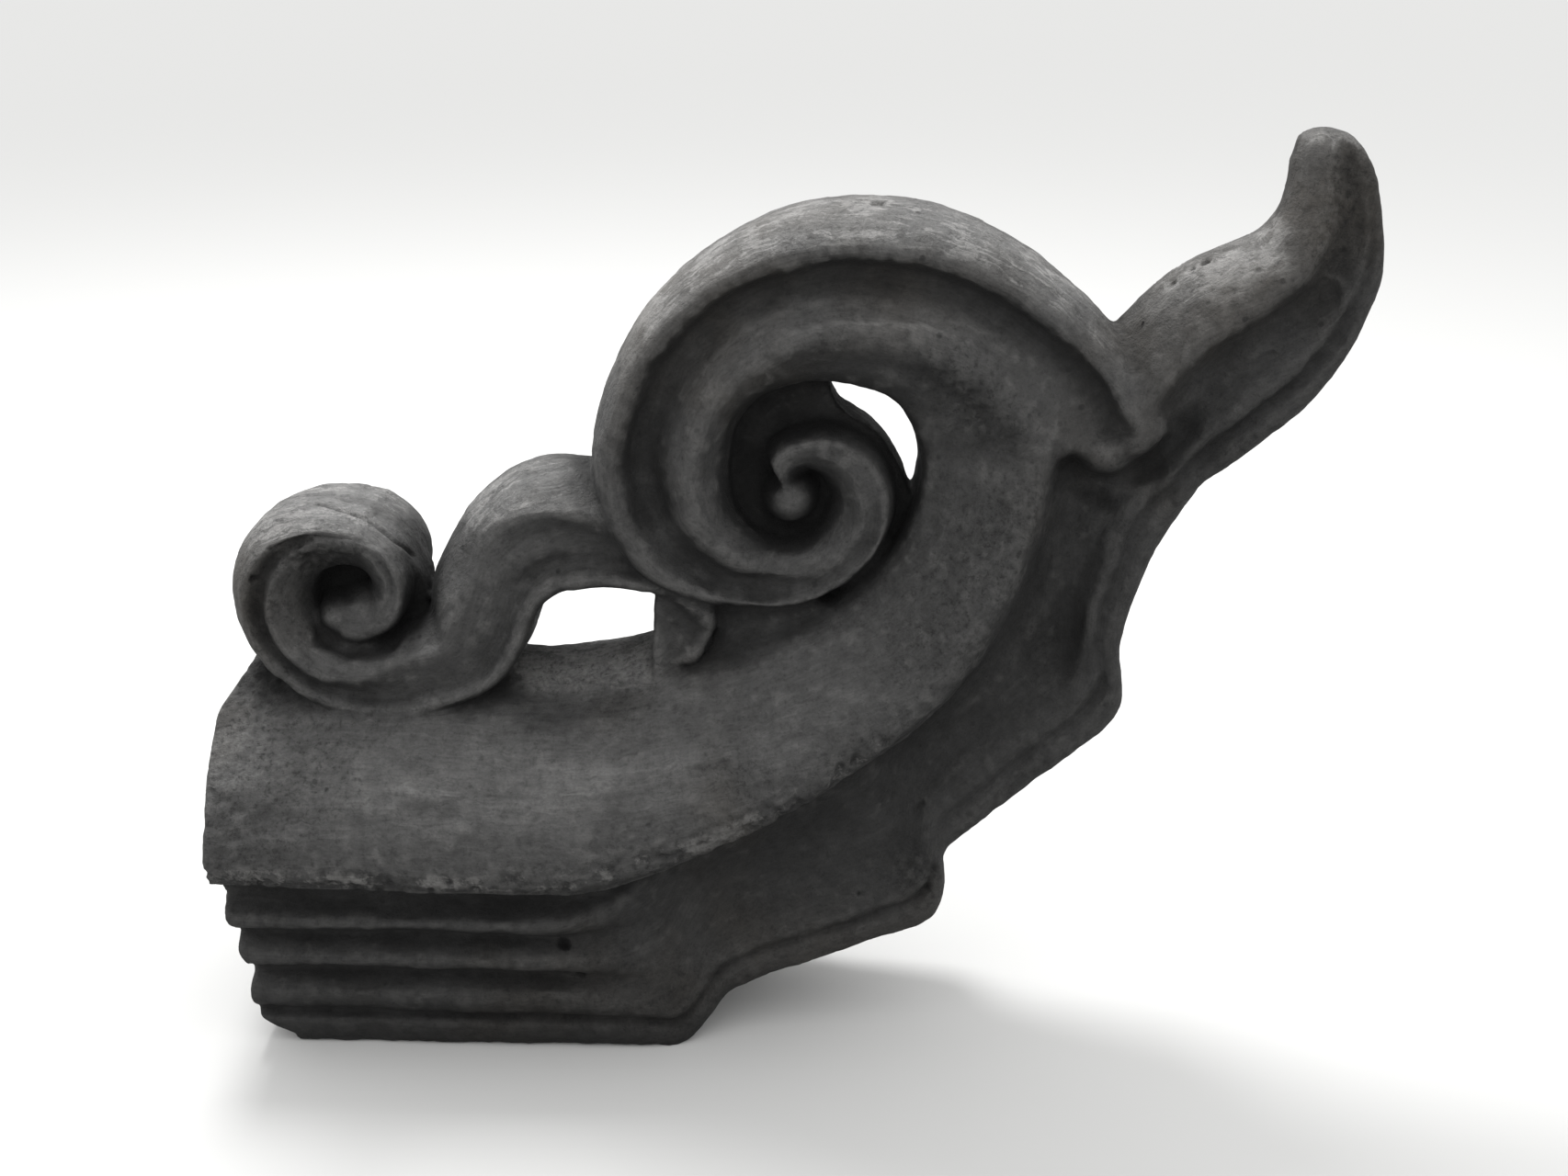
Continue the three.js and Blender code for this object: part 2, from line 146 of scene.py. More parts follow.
def loft(halves, steps=4):
    rings, alongs, acrosses = [], [], []
    travelled = 0.0
    for i, half in enumerate(halves):
        knots = np.array([[side[0], side[1], y] for side, y in half], float)
        front = smoothHalf(knots, steps)
        front[:, 2] = np.maximum(front[:, 2], 0)
        front[[0, -1], 2] = 0
        if i:
            travelled += np.linalg.norm(front.mean(0) - lastMean)
        lastMean = front.mean(0)
        reach = np.concatenate([[0], np.cumsum(np.linalg.norm(np.diff(front, axis=0), axis=1))])
        ring = np.vstack([front, front[1:-1][::-1] * [1, 1, -1]])
        rings.append(np.stack([ring[:, 0], -ring[:, 2], ring[:, 1]], 1))
        acrosses.append(np.concatenate([reach, reach[1:-1][::-1] + backShift]))
        alongs.append(np.full(len(ring), travelled))
    size = len(rings[0])
    faces = []
    for ring in range(len(rings) - 1):
        for p in range(size):
            q = (p + 1) % size
            near, far = ring * size, (ring + 1) * size
            faces.append([near + p, near + q, far + q, far + p])
    last = (len(rings) - 1) * size
    for p in range(size // 2):
        cap = [p, p + 1, (size - p - 1) % size, (size - p) % size]
        cap = list(dict.fromkeys(cap))
        if len(cap) > 2:
            faces.append(cap[::-1])
            faces.append([last + i for i in cap])
    addSolid(np.vstack(rings), faces, np.concatenate(alongs), np.concatenate(acrosses))


# the ridge body
body = {"width": 180, "crest": 40}


def ridgeBody():
    crest = sideLine([-132.5, 203], [-60, 212], [10, 209], [52, 208], [84, 212.5], [112, 221], [148, 230],
                     [190, 247], [216, 267], [235, 289], [244, 307], [248, 323], [249, 336], [247, 350])
    ledge = sideLine([-132.5, 114], [-60, 114], [10, 114], [62, 114], [101, 121], [151, 141], [199, 166],
                     [247, 198], [274, 229], [294, 266], [304, 295], [310, 324], [308, 345], [301, 362])
    narrowing = through([0, 0.96], [1, 1], [3, 1], [5, 0.86], [7, 0.68], [9, 0.57], [10, 0.53], [11, 0.495],
                        [12, 0.46], [13, 0.405])
    crestSpread = through([0, 1], [5, 1], [9, 1.3], [12, 1.5], [13, 1.2])
    softening = through([0, 0], [5, 0], [9, 1], [13, 1])
    halves = []
    for place in np.arange(0, 13.01, 0.2):
        top, edge = crest(place), ledge(place)
        wide = body["width"] / 2 * narrowing(place)
        narrow = body["crest"] / 2 * crestSpread(place)
        soft = softening(place)
        half = [(blend(top, edge, -0.05), 0), (blend(top, edge, -0.035), 0.6 * narrow)]
        for share in (0, 0.12, 0.28, 0.48, 0.72):
            half.append((blend(top, edge, share), blend(narrow, wide, 1 - (1 - share) ** 2)))
        half += [
            (blend(top, edge, 0.9), wide - 0.6 * soft),
            (blend(top, edge, 0.96), wide - 0.3 - 3 * soft),
            (edge, wide - 1.5 - 5 * soft),
            (blend(top, edge, 1.03), wide - 6 - 6 * soft),
            (blend(top, edge, 1.06), wide - 10 - 7 * soft),
            (blend(top, edge, 1.1), 0),
        ]
        halves.append(half)
    loft(halves)


# the reeded foot and the scalloped flange
flange = {"foot": 136, "thick": 66, "reed": 8.5, "lipGroove": 4, "channel": 8}


def footAndFlange():
    inner = sideLine([-128, 106], [-106, 106], [-86, 106], [40, 106], [70, 108], [88, 111], [101, 115],
                     [113, 120], [127, 126], [151, 137], [175, 149], [199, 162], [213, 171], [221, 177],
                     [228, 183], [236, 190], [244, 197], [256, 209], [269, 224], [280, 240], [288, 255],
                     [292, 264], [295, 274], [298, 284], [301, 294], [304, 306], [306, 318], [306, 332],
                     [304, 345])
    outer = sideLine([-120, 0], [-106, 0], [-86, 0], [40, 0], [80, 0], [102, 0], [120.5, 0],
                     [133.5, 13.5], [145, 27.5], [170.5, 38.5], [199, 47.5], [229, 58], [252, 67], [262, 77],
                     [265, 92], [264, 108], [272.5, 119], [290, 135], [311, 152], [330.5, 168.5],
                     [347.5, 183.5], [356, 197], [356, 211], [353.5, 227], [355, 242.5], [360.5, 262.5],
                     [369, 285], [380.5, 306], [392, 323.5])
    thick = flange["thick"]
    halfWidth = through([0, flange["foot"] / 2], [5, flange["foot"] / 2], [9, 0.76 * thick],
                        [14, 0.62 * thick], [21, thick / 2], [26, thick / 2], [28, 0.4 * thick])
    reeded = through([0, 1], [3, 1], [4, 0.75], [5, 0.35], [6, 0.1], [7, 0])
    deep, lip, channel = flange["reed"], flange["lipGroove"], flange["channel"]
    reed = [(0, -8), (3, -3), (9, 0), (17, 1), (21, -4), (27, 2), (37, 5), (48, 5 - deep), (57, 8), (64, 9),
            (74, 9 - deep), (83, 12), (89, 13), (97, 12 - deep), (118, 11 - deep)]
    halves = []
    for place in np.arange(0, 28.01, 0.2):
        root, rim = inner(place), outer(place)
        reach = np.linalg.norm(rim - root)
        half = halfWidth(place)
        share = reeded(place)
        cove = [26 + (reach - 26) * part for part in (0.12, 0.28, 0.44, 0.6, 0.76, 0.9, 1.02, 1.2)]
        plain = [(0, -7), (2, -3), (6, -0.5), (13, 0), (17, -lip), (22, 1), (26, 0)]
        plain += zip(cove, (-3, -0.8 * channel, -channel, -channel, -0.7 * channel, -0.2 * channel, 0, 0))
        front = []
        for flat, ribbed in zip(plain, reed):
            away = blend(flat[0], ribbed[0], share)
            front.append((blend(rim, root, away / reach), half + blend(flat[1], ribbed[1], share)))
        halves.append([(rim, 0), *front, (blend(rim, root, 1.25), 0)])
    loft(halves)


# the big scroll
scroll = {"centre": (178, 311), "width": 84, "coil": 74, "rimGroove": 12}


def bigScroll():
    rimRadius = through([8, 187], [13, 182], [27, 169], [46, 155], [73, 138.5], [92, 128], [115, 115.5],
                        [144, 103], [173, 96], [206, 83], [223, 71], [243, 60.5], [266, 55.5], [300, 52],
                        [343, 51.5], [380, 48.5], [418, 41.5], [437, 35.5], [462, 28.5], [480, 22])
    innerRadius = through([8, 71], [29, 76], [43, 77], [53, 74], [73, 67.5], [89, 63], [108, 57],
                          [125, 50], [144, 41], [174, 33.5], [202, 30], [234, 27], [266, 25.5], [302, 24],
                          [337, 23], [368, 23.5], [399, 22], [432, 17], [456, 8], [480, 3])
    grooveInset = through([8, 7], [33, 9], [52, 12], [92, 13], [147, 16], [181, 20], [206, 17], [230, 8],
                          [266, 6], [343, 5], [400, 5], [480, 4])
    ridgeRadius = through([8, 132.5], [28, 123], [52, 109], [76, 94.5], [106, 77.5], [143, 60], [184, 50],
                          [229, 42], [286, 39], [340, 38.5], [400, 34], [437, 28], [462, 19], [480, 13])
    curl = through([8, 0], [200, 0], [330, 1], [580, 1])
    crowning = through([8, 22], [36, 18.5], [56, 21], [72, 20.5], [92, 17], [150, 10.5], [210, 8], [300, 4],
                       [380, 6])
    grooving = through([8, 1], [200, 1], [300, 0.55], [343, 0.3], [400, 0], [580, 0])
    falling = through([8, 10], [90, 12], [230, 14], [300, 12], [400, 10], [580, 2])
    sinking = through([8, 4], [32, 0], [480, 0])

    def section(angle):
        half = blend(scroll["width"], scroll["coil"], curl(angle)) / 2
        crown, fall, sunk = crowning(angle), falling(angle), sinking(angle)
        groove = scroll["rimGroove"] * grooving(angle)
        rim, inner, ridge = rimRadius(angle), innerRadius(angle), ridgeRadius(angle)
        trough = rim - grooveInset(angle)
        return [(polar(scroll["centre"], radius, angle), y) for radius, y in (
            (rim + crown, 0),
            (rim + 0.9 * crown, 0.4 * half),
            (rim + 0.62 * crown, 0.7 * half),
            (rim + 0.22 * crown, 0.9 * half),
            (blend(rim, trough, 0.15), 0.99 * half),
            (blend(rim, trough, 0.55), half - 0.25 * groove),
            (blend(rim, trough, 0.86), half - 0.85 * groove),
            (trough + 1, half - groove),
            (blend(trough, ridge, 0.25), half - 0.85 * groove),
            (blend(trough, ridge, 0.6), half - 0.4 * groove),
            (ridge, half - sunk),
            (blend(ridge, inner, 0.35), half - 0.25 * fall - sunk),
            (blend(ridge, inner, 0.75), half - 0.65 * fall - sunk),
            (inner, half - 1.3 * fall - sunk),
            (inner - 2, 0.5 * half),
            (inner - 3, 0),
        )]

    loft([section(angle) for angle in np.arange(11, 251.1, 3)])
    loft([section(angle) for angle in np.arange(251, 476.1, 4.5)])


# the small scroll and its band
ribbon = {"centre": (-59, 249), "width": 92, "groove": 7}


def ribbonSection(outer, inner, half, ridgeInset, innerCrown, outerCrown, fall, groove):
    width = np.linalg.norm(outer - inner)
    ridge = width - ridgeInset
    return [(blend(outer, inner, inset / width), y) for inset, y in (
        (-outerCrown, 0),
        (-0.7 * outerCrown, 0.55 * half),
        (0, 0.9 * half),
        (0.1 * width, half),
        (0.2 * width, half - 0.5 * groove),
        (0.28 * width, half - groove),
        (blend(0.28 * width, ridge, 0.6), half - 0.4 * groove),
        (ridge, half),
        (blend(ridge, width, 0.6), half - 0.5 * fall),
        (width + 0.15 * innerCrown, 0.92 * half - fall),
        (width + 0.65 * innerCrown, 0.58 * half),
        (width + innerCrown, 0),
    )]


def band():
    def coil(*keys):
        return [polar(ribbon["centre"], radius, angle) for angle, radius in keys]
    outer = sideLine([135, 254], [118, 258], [104, 261], [90, 263], [74, 264], [58, 262], [48, 256],
                     [41, 245], [36, 231], [28, 217], [14, 205],
                     *coil((-50, 71), (-66, 63), (-82, 58), (-98, 55), (-114, 53), (-130, 51.5), (-146, 52),
                           (-162, 53.5), (-180, 54.5), (-200, 54.5), (-220, 53.5), (-240, 51.5),
                           (-260, 48.5), (-284, 45.5)))
    inner = sideLine([128, 288], [112, 295], [98, 300], [85, 304], [70, 307], [51, 307], [33, 300],
                     [17, 285], [6, 266], [-3, 247], [-9, 233],
                     *coil((-34, 36), (-56, 27), (-78, 21), (-98, 18.5), (-114, 18), (-130, 17.5),
                           (-146, 17.5), (-162, 18), (-180, 19), (-200, 20.5), (-220, 22.5), (-240, 24),
                           (-260, 24.5), (-284, 24.5)))
    ridgeInset = through([0, 3], [8, 3], [11, 5], [13, 14], [15, 18], [25, 17])
    innerCrown = through([0, 17], [5, 18], [7, 19], [9, 18], [10, 15], [11, 9], [12, 4], [25, 2])
    outerCrown = through([0, 1], [10, 2], [13, 6], [16, 8], [19, 11], [21, 11], [23, 5], [25, 2])
    fall = through([0, 1], [9, 2], [12, 8], [15, 12], [25, 12])
    halfAt = through([0, 0.74], [4, 0.84], [8, 0.9], [12, 0.98], [18, 0.96], [25, 0.9])
    loft([ribbonSection(outer(place), inner(place), ribbon["width"] / 2 * halfAt(place), ridgeInset(place),
                        innerCrown(place), outerCrown(place), fall(place), ribbon["groove"])
          for place in np.arange(0, 24.01, 0.2)])


def smallCoil():
    outer = through([-466, 15], [-411, 21], [-371, 28.5], [-345, 34.5],
                    [-323, 39], [-300, 43], [-276, 46.8])
    inner = through([-466, 4.5], [-440, 5.5], [-400, 9], [-360, 14], [-330, 18.5],
                    [-300, 22.5], [-276, 24.5])
    halves = []
    for turned in np.arange(0, 1.001, 0.03125):
        angle = -276 - 190 * turned
        width = outer(angle) - inner(angle)
        halves.append(ribbonSection(
            polar(ribbon["centre"], outer(angle), angle), polar(ribbon["centre"], inner(angle), angle),
            ribbon["width"] / 2 * blend(0.875, 0.82, turned), blend(17, 0.4 * width, min(1, 2.5 * turned)),
            2, 2, blend(12, 5, turned), blend(ribbon["groove"], 0.5, min(1, 2 * turned))))
    loft(halves)


# the horn
horn = {"width": 66, "cove": 10}


def hornForm():
    top = sideLine([316, 366], [338, 394], [358.5, 415.5], [379, 431.5], [398.5, 441], [413, 448.5],
                   [420.5, 459.5], [423, 473], [424.5, 485], [427, 494.5], [433, 499.5], [441, 500])
    edge = sideLine([338, 338], [355, 354], [370, 380], [384, 394], [401, 407], [420, 420], [436, 435],
                    [442, 453], [444, 471], [446, 483], [447, 492], [446, 497])
    lower = sideLine([374, 300], [389.5, 320.5], [403.5, 332.5], [419.5, 345.5], [435.5, 359.5],
                     [452, 379], [464.5, 403.5], [471.5, 432], [468.5, 461.5], [461.5, 482],
                     [454.5, 493.5], [448, 498.5])
    slimming = through([0, 0.9], [1, 1], [4, 0.95], [6, 0.78], [8, 0.54], [10, 0.27], [11, 0.12])
    halves = []
    for place in np.arange(0, 11.01, 0.2):
        crown, brow, rim = top(place), edge(place), lower(place)
        half = horn["width"] / 2 * slimming(place)
        cove = horn["cove"] * min(1, slimming(place) * 1.2)
        halves.append([
            (crown, 0),
            (blend(crown, brow, 0.12), 0.36 * half),
            (blend(crown, brow, 0.38), 0.68 * half),
            (blend(crown, brow, 0.72), 0.9 * half),
            (brow, half),
            (blend(brow, rim, 0.1), half - 0.6 * cove),
            (blend(brow, rim, 0.24), half - cove),
            (blend(brow, rim, 0.44), half - 0.8 * cove),
            (blend(brow, rim, 0.64), half - 0.1 * cove),
            (blend(brow, rim, 0.74), half - 0.45 * cove),
            (blend(brow, rim, 0.86), half),
            (blend(brow, rim, 0.97), half - 4 * slimming(place)),
            (rim, 0.5 * half),
            (rim, 0),
        ])
    loft(halves)


# knobs, webs and lumps
filling = {"web": 28, "lug": 62, "lugRoot": 50}  # widths in mm


def plate(outline, width):  # a flat web across the middle plane
    count = len(outline)
    points = [(x, y, z) for y in (-width / 2, width / 2) for x, z in outline]
    faces = [list(range(count)), list(range(2 * count - 1, count - 1, -1))]
    for p in range(count):
        q = (p + 1) % count
        faces.append([q, p, count + p, count + q])
    addSolid(np.array(points, float), faces, np.zeros(2 * count), np.zeros(2 * count))


def arc(centre, radius, start, end, step):
    return [polar(centre, radius, angle) for angle in np.arange(start, end + 0.1, step)]


def ball(centre, radii, rings=16, steps=24):
    points, faces = [], []
    for i in range(rings + 1):
        tilt = math.pi * i / rings
        for j in range(steps):
            turn = 2 * math.pi * j / steps
            points.append((centre[0] + radii[0] * math.sin(tilt) * math.cos(turn),
                           centre[1] + radii[1] * math.cos(tilt),
                           centre[2] + radii[2] * math.sin(tilt) * math.sin(turn)))
    for i in range(rings):
        for j in range(steps):
            k = (j + 1) % steps
            faces.append([i * steps + j, i * steps + k, (i + 1) * steps + k, (i + 1) * steps + j])
    addSolid(np.array(points), faces, np.zeros(len(points)), np.zeros(len(points)))


def websAndLumps():
    centre, bandCentre = scroll["centre"], ribbon["centre"]
    gapRadius = through([3, 61], [17, 58], [42, 54], [56, 52], [67, 56], [78, 74])
    crescent = [polar(centre, gapRadius(angle), angle) for angle in range(3, 79, 5)]
    plate([*arc(centre, 68, 196, 352, 6), *crescent, *arc(centre, 62, 92, 186, 6)], filling["web"])
    plate(arc(bandCentre, 40, 0, 345, 12), filling["web"])
    plate([(105, 210), (104.5, 226), (105.5, 246), (108, 268), (124, 274), (136, 262), (139, 247),
           (134, 234), (128, 222)], filling["lug"])
    plate([(112, 205), (110, 262), (150, 268), (200, 252), (196, 236), (150, 220)], filling["lugRoot"])
    for x, z, radii in (
            (centre[0], centre[1], (17, 37, 17)),  # knob of the big scroll
            (bandCentre[0] - 5, bandCentre[1] - 4, (12, 39.5, 12)),  # knob of the small one
            (bandCentre[0] + 10, bandCentre[1] - 2, (17, 36, 16)),  # clay packed beside it
            (339, 339, (20, 43, 14)),  # rolled end of the rim
            (353, 345, (16, 42, 10))):
        ball((x, 0, z), radii)


for form in (ridgeBody, footAndFlange, bigScroll, band, smallCoil, hornForm, websAndLumps):
    form()
print("forms lofted:", skin["count"], "points")


# one skin
working = {
    "voxel": 0.0015,  # metres
    "soften": 3,  # rounds of smoothing over the whole skin
    "handRounds": 42,  # rounds in the places smoothed by hand
    "handShare": 0.6,
    "settle": 2,  # rounds over the whole skin after the carving
    "settleFlow": 14,  # rounds for the streaks' directions
    "streak": [60, 6],  # length and breadth of a drawn streak in mm
    "streakFoot": 50,  # mm around the scroll's foot without streaks
    "endWear": [0.9, 8, 6],  # height in mm, size in mm and seed of the worn end's lumps
    "endDepth": 0.5,  # mm
    "endShare": 0.9,
    "faces": 190000,
}
# unevenness: [height in mm, size of the lumps in mm, seed]
broadLumps = [[0.9, 50, 1], [0.7, 20, 2]]
fineLumps = [[0.3, 8, 5], [0.25, 4.5, 7]]
chipping = {
    "depth": 3.4,  # mm
    "reach": 11,
    "outside": 45,  # mm from the middle plane
    "lumps": [[0.6, 21, 21], [0.8, 8, 22], [0.5, 4, 23]],
    "more": 0.05,  # takes a little more off everywhere
}


def meshObject(name, points, faces):
    mesh = bpy.data.meshes.new(name)
    mesh.from_pydata(points, [], faces)
    mesh.update()
    made = bpy.data.objects.new(name, mesh)
    bpy.context.scene.collection.objects.link(made)
    return made


def applyModifiers(thing):
    graph = bpy.context.evaluated_depsgraph_get()
    finished = bpy.data.meshes.new_from_object(thing.evaluated_get(graph))
    thing.modifiers.clear()
    old = thing.data
    thing.data = finished
    bpy.data.meshes.remove(old)


def fuse():
    points = np.vstack(skin["points"]) / 1000
    joined = meshObject("ridge_ornament_clay", points.tolist(), skin["faces"])
    remesh = joined.modifiers.new("fuse", "REMESH")
    remesh.mode = "VOXEL"
    remesh.voxel_size = working["voxel"]
    remesh.adaptivity = 0
    applyModifiers(joined)
    return joined


clay = fuse()
print("fused:", len(clay.data.vertices), "vertices")


# tools for working the clay
def readVertices(mesh, what="co"):
    values = np.zeros(len(mesh.vertices) * 3, np.float32)
    if what == "co":
        mesh.vertices.foreach_get("co", values)
    else:
        mesh.vertex_normals.foreach_get("vector", values)
    return values.reshape(-1, 3).astype(float)


def writeVertices(mesh, points):
    mesh.vertices.foreach_set("co", points.astype(np.float32).ravel())
    mesh.update()


def neighbours(mesh):
    edges = np.zeros(len(mesh.edges) * 2, np.int32)
    mesh.edges.foreach_get("vertices", edges)
    edges = edges.reshape(-1, 2)
    starts = np.concatenate([edges[:, 0], edges[:, 1]])
    ends = np.concatenate([edges[:, 1], edges[:, 0]])
    return starts, ends, np.maximum(np.bincount(starts, minlength=len(mesh.vertices)), 1)


def relax(values, net, rounds, share=0.5):
    starts, ends, counts = net
    columns = values.reshape(len(counts), -1).copy()
    weight = share if np.ndim(share) == 0 else share[:, None]
    for _ in range(rounds):
        means = [np.bincount(starts, column[ends], len(counts)) / counts for column in columns.T]
        columns += weight * (np.stack(means, 1) - columns)
    return columns.reshape(values.shape)


def latticeNoise(points, size, seed):  # smooth noise from -1 to 1, one lump per size
    at = points / size + 1000.0 + seed * 17.37
    cell = np.floor(at).astype(np.int64)
    t = at - cell
    t = t * t * t * (t * (t * 6 - 15) + 10)
    total = np.zeros(len(points))
    for corner in range(8):
        bits = [(corner >> axis) & 1 for axis in range(3)]
        x, y, z = (cell[:, axis] + bits[axis] for axis in range(3))
        # a fixed number for each cell and seed
        mixed = (x * 73856093) ^ (y * 19349663) ^ (z * 83492791) ^ (seed * 2654435761)
        mixed = (mixed ^ (mixed >> 13)) * 1274126177 & 0xFFFFFFFF
        value = ((mixed ^ (mixed >> 16)) & 0xFFFF) / 32767.5 - 1
        weight = np.ones(len(points))
        for axis in range(3):
            weight *= t[:, axis] if bits[axis] else 1 - t[:, axis]
        total += weight * value
    return total


def unevenness(points, lumps):
    return sum(height * latticeNoise(points, size, seed) for height, size, seed in lumps)


def formCoordinates(points, net):  # how far along and across its form each point lies, in millimetres
    source = np.vstack(skin["points"])
    along, across = np.concatenate(skin["along"]), np.concatenate(skin["across"])
    tree = KDTree(len(source))
    for i, point in enumerate(source):
        tree.insert(point, i)
    tree.balance()
    nearest = np.array([tree.find(point)[1] for point in points])
    return relax(np.stack([along[nearest], across[nearest]], 1), net, working["settleFlow"])


def lineDistance(points, line, taper=0.0):  # distance to a row of points, in the side view or in space
    line = np.array(line, float)
    flat = points[:, [0, 2]] if line.shape[1] == 2 else points
    if len(line) == 1:
        return np.linalg.norm(flat - line[0], axis=1)
    least = np.full(len(flat), np.inf)
    lengths = np.linalg.norm(np.diff(line, axis=0), axis=1)
    before = 0.0
    for start, step, length in zip(line[:-1], np.diff(line, axis=0), lengths):
        share = np.clip((flat - start) @ step / length ** 2, 0, 1)
        away = np.linalg.norm(flat - start - share[:, None] * step, axis=1)
        run = before + share * length
        toEnd = np.minimum(run, lengths.sum() - run)
        away += taper * np.clip(1 - toEnd / (2 * taper + 1e-9), 0, 1)  # the mark thins out towards its ends
        least = np.minimum(least, away)
        before += length
    return least


def fade(distance, reach):  # 1 on the line, 0 beyond its reach
    return np.clip(1 - (distance / reach) ** 2, 0, 1) ** 2


scrollGroove = [(346, 354), (330, 378), (310, 397), (287, 410), (264, 423), (242, 429), (196, 430),
                (151, 416), (114, 378), (102, 334), (109, 295), (150, 265), (202, 278)]
# carved on both faces: [rise in mm, half width in mm, line in the side view]
carving = [
    [-4, 13, scrollGroove],
    [3, 15, [(315, 316), (304, 344), (286, 368), (265, 386), (224, 401), (179, 396), (140, 366), (126, 328),
             (136, 293), (169, 271)]],
    [4, 8, [(110, 258), (121, 257), (132, 250), (137, 240), (133, 228), (120, 222), (110, 221)]],  # lug
    [-15, 12, [(113, 244), (123, 240)]],
    [-4, 14, [(318, 324), (330, 317), (343, 312), (358, 318)]],  # below the rolled rim's end
    [-3.5, 10, [(348, 316), (362, 331), (372, 342), (379, 353), (388, 370)]],  # root of the horn
    [-3, 12, [(380, 372), (392, 386), (408, 398), (424, 405), (438, 416), (446, 432)]],
    [1.5, 8, [(366, 330), (384, 346), (400, 359), (412, 371), (426, 381), (442, 396)]],
    [-1.2, 8, [(370, 322), (392, 342), (406, 354), (419, 364), (438, 385), (450, 399), (458, 424)]],
    [-2, 8, [(457, 466), (459, 452), (458, 436)]],
    [-4, 6, [(-79, 243), (-72, 233), (-57, 227), (-38, 229), (-24, 237)]],  # small scroll and its band
    [-3, 11, [(-2, 258), (14, 279), (29, 290), (47, 297), (61, 296), (77, 290), (97, 287)]],
    [-2, 7, [(30, 264), (47, 274), (62, 279), (79, 279), (97, 277)]],
    [1.5, 9, [(262, 184), (278, 202), (293, 216), (300, 230), (308, 245), (314, 259), (316, 274),
              (315, 312)]],
    [1.8, 5, [(329, 200), (332, 215), (334, 230), (337, 250), (345, 277), (351, 295)]],  # flange
    [-2, 6, [(337, 208), (340, 230), (344, 258), (351, 277), (359, 298)]],
    [-2.5, 10, [(322, 204), (325, 233), (327, 260), (334, 284), (342, 304)]],
]
# places smoothed by hand, both faces: [reach in mm, share, line]
smoothed = [
    [20, 1, [(309, 318), (306, 342)]],
    [24, 1, [(308, 350), (328, 346), (342, 338), (360, 346)]],
    [16, 1, [(240, 342), (302, 362)]],
    [17, 1, [(312, 326), (318, 340), (330, 338)]],
    [24, 0.9, scrollGroove],
    [14, 1, [(-45, 232), (-40, 250), (-60, 234)]],
    [14, 1, [(252, 203), (274, 229), (294, 266), (304, 295), (310, 324)]],
    [12, 1, [(436, 499), (448, 494)]],
    [12, 0.5, [(97, 32), (114, 42), (142, 54), (182, 70), (224, 86), (234, 90), (238, 102), (253, 125),
               (282, 158), (312, 179), (334, 205), (340, 230), (344, 258), (351, 277), (362, 300)]],
    [14, 0.8, [(350, 346), (366, 378), (386, 395), (404, 407), (424, 419), (438, 434), (446, 455),
               (448, 478)]],
    [12, 0.6, [(-2, 258), (14, 279), (29, 290), (47, 297), (61, 296), (77, 290), (97, 287)]],
]
# on the front alone: [rise, half width, line in the side view as (x, z), or in space as (x, y, z)]
frontMarks = [
    [-1.6, 2.2, [(-92, 286), (-70, 294), (-49, 292), (-38, 287)]],  # cracks on the small scroll
    [-1.8, 2.2, [(-75, -12, 302), (-60, -17, 300), (-46, -18, 295), (-32, -19, 284), (-25, -9, 272)]],
    [1, 3, [(445, 428), (450, 427), (453, 420), (452, 412)]],  # curl on the horn
    [-2.5, 3, [(-103, 269)]],  # pits and stones
    [-3, 3, [(55, 71), (58, 70)]],
    [-2.5, 2.5, [(63, 48), (65, 48)]],
    [-2, 2, [(217, 88)]],
    [-1.2, 2, [(246, 136), (251, 141)]],
    [1.6, 3, [(265, 286), (267, 288)]],
    [-2.5, 3, [(219, -14, 462), (223, -14, 462)]],
    [-2.4, 2, [(364, -9, 420), (370, -9, 423)]],
    [-2, 1.8, [(377, -8, 429), (380, -8, 430)]],
    [-2, 1.8, [(384, -8, 432), (387, -8, 433)]],
    [-1.5, 2, [(151, -24, 441), (156, -24, 443)]],
]
# torn or pitted places on the front: [height in mm, size of the lumps in mm, reach in mm, line]
tornPlaces = [
    [2.2, 7, 15, [(-80, 280), (-62, 277)]],
    [0.6, 6, 42, [(-114, 190), (-114, 130)]],
    [1.5, 9, 20, [(-126, 196), (-100, 207)]],
    [0.9, 5, 16, [(246, 104), (252, 96)]],
    [0.9, 5, 18, [(256, 382), (285, 352)]],
    [0.8, 4, 14, [(450, 478), (446, 440)]],
    [0.6, 5, 30, [(262, 245), (290, 300)]],
]
# painted shade in deep places, both faces: [reach in mm, share, line]
paintedShadeLines = [
    [18, 0.6, [(110, 246), (124, 240)]],  # pocket of the hooked lug
    [17, 0.4, scrollGroove[:5]],
    [14, 0.28, scrollGroove[4:10]],
    [16, 0.5, [(118, 222), (148, 229), (190, 245), (216, 265), (235, 288)]],  # crest below the big scroll
    [15, 0.65, [(200, 346), (187, 350), (170, 346), (156, 335), (149, 318)]],  # behind its coil
]
scrollFoot = [(240, 342), (302, 362)]  # where the scroll leaves the ridge
rubbleAndLightLine = [(48, 0, 208), (75, 0, 211), (100, 0, 216)]  # rough clay on the crest below the band, in space, with painted light on it
ledgeLine = [(-128, 116), (10, 116), (57, 118), (101, 126), (140, 138), (180, 158), (214, 180), (240, 198)]
# painted shade: below and right of this line the colour is darkened
paintedShadeLine = [(-160, 111), (10, 111), (62, 111), (101, 118), (151, 138), (199, 163), (247, 196), (274, 227),
            (296, 264), (308, 295), (316, 322), (343, 333), (361, 350), (377, 375), (390, 387), (407, 399),
            (429, 413), (444, 430), (451, 451), (454, 471), (456, 500)]
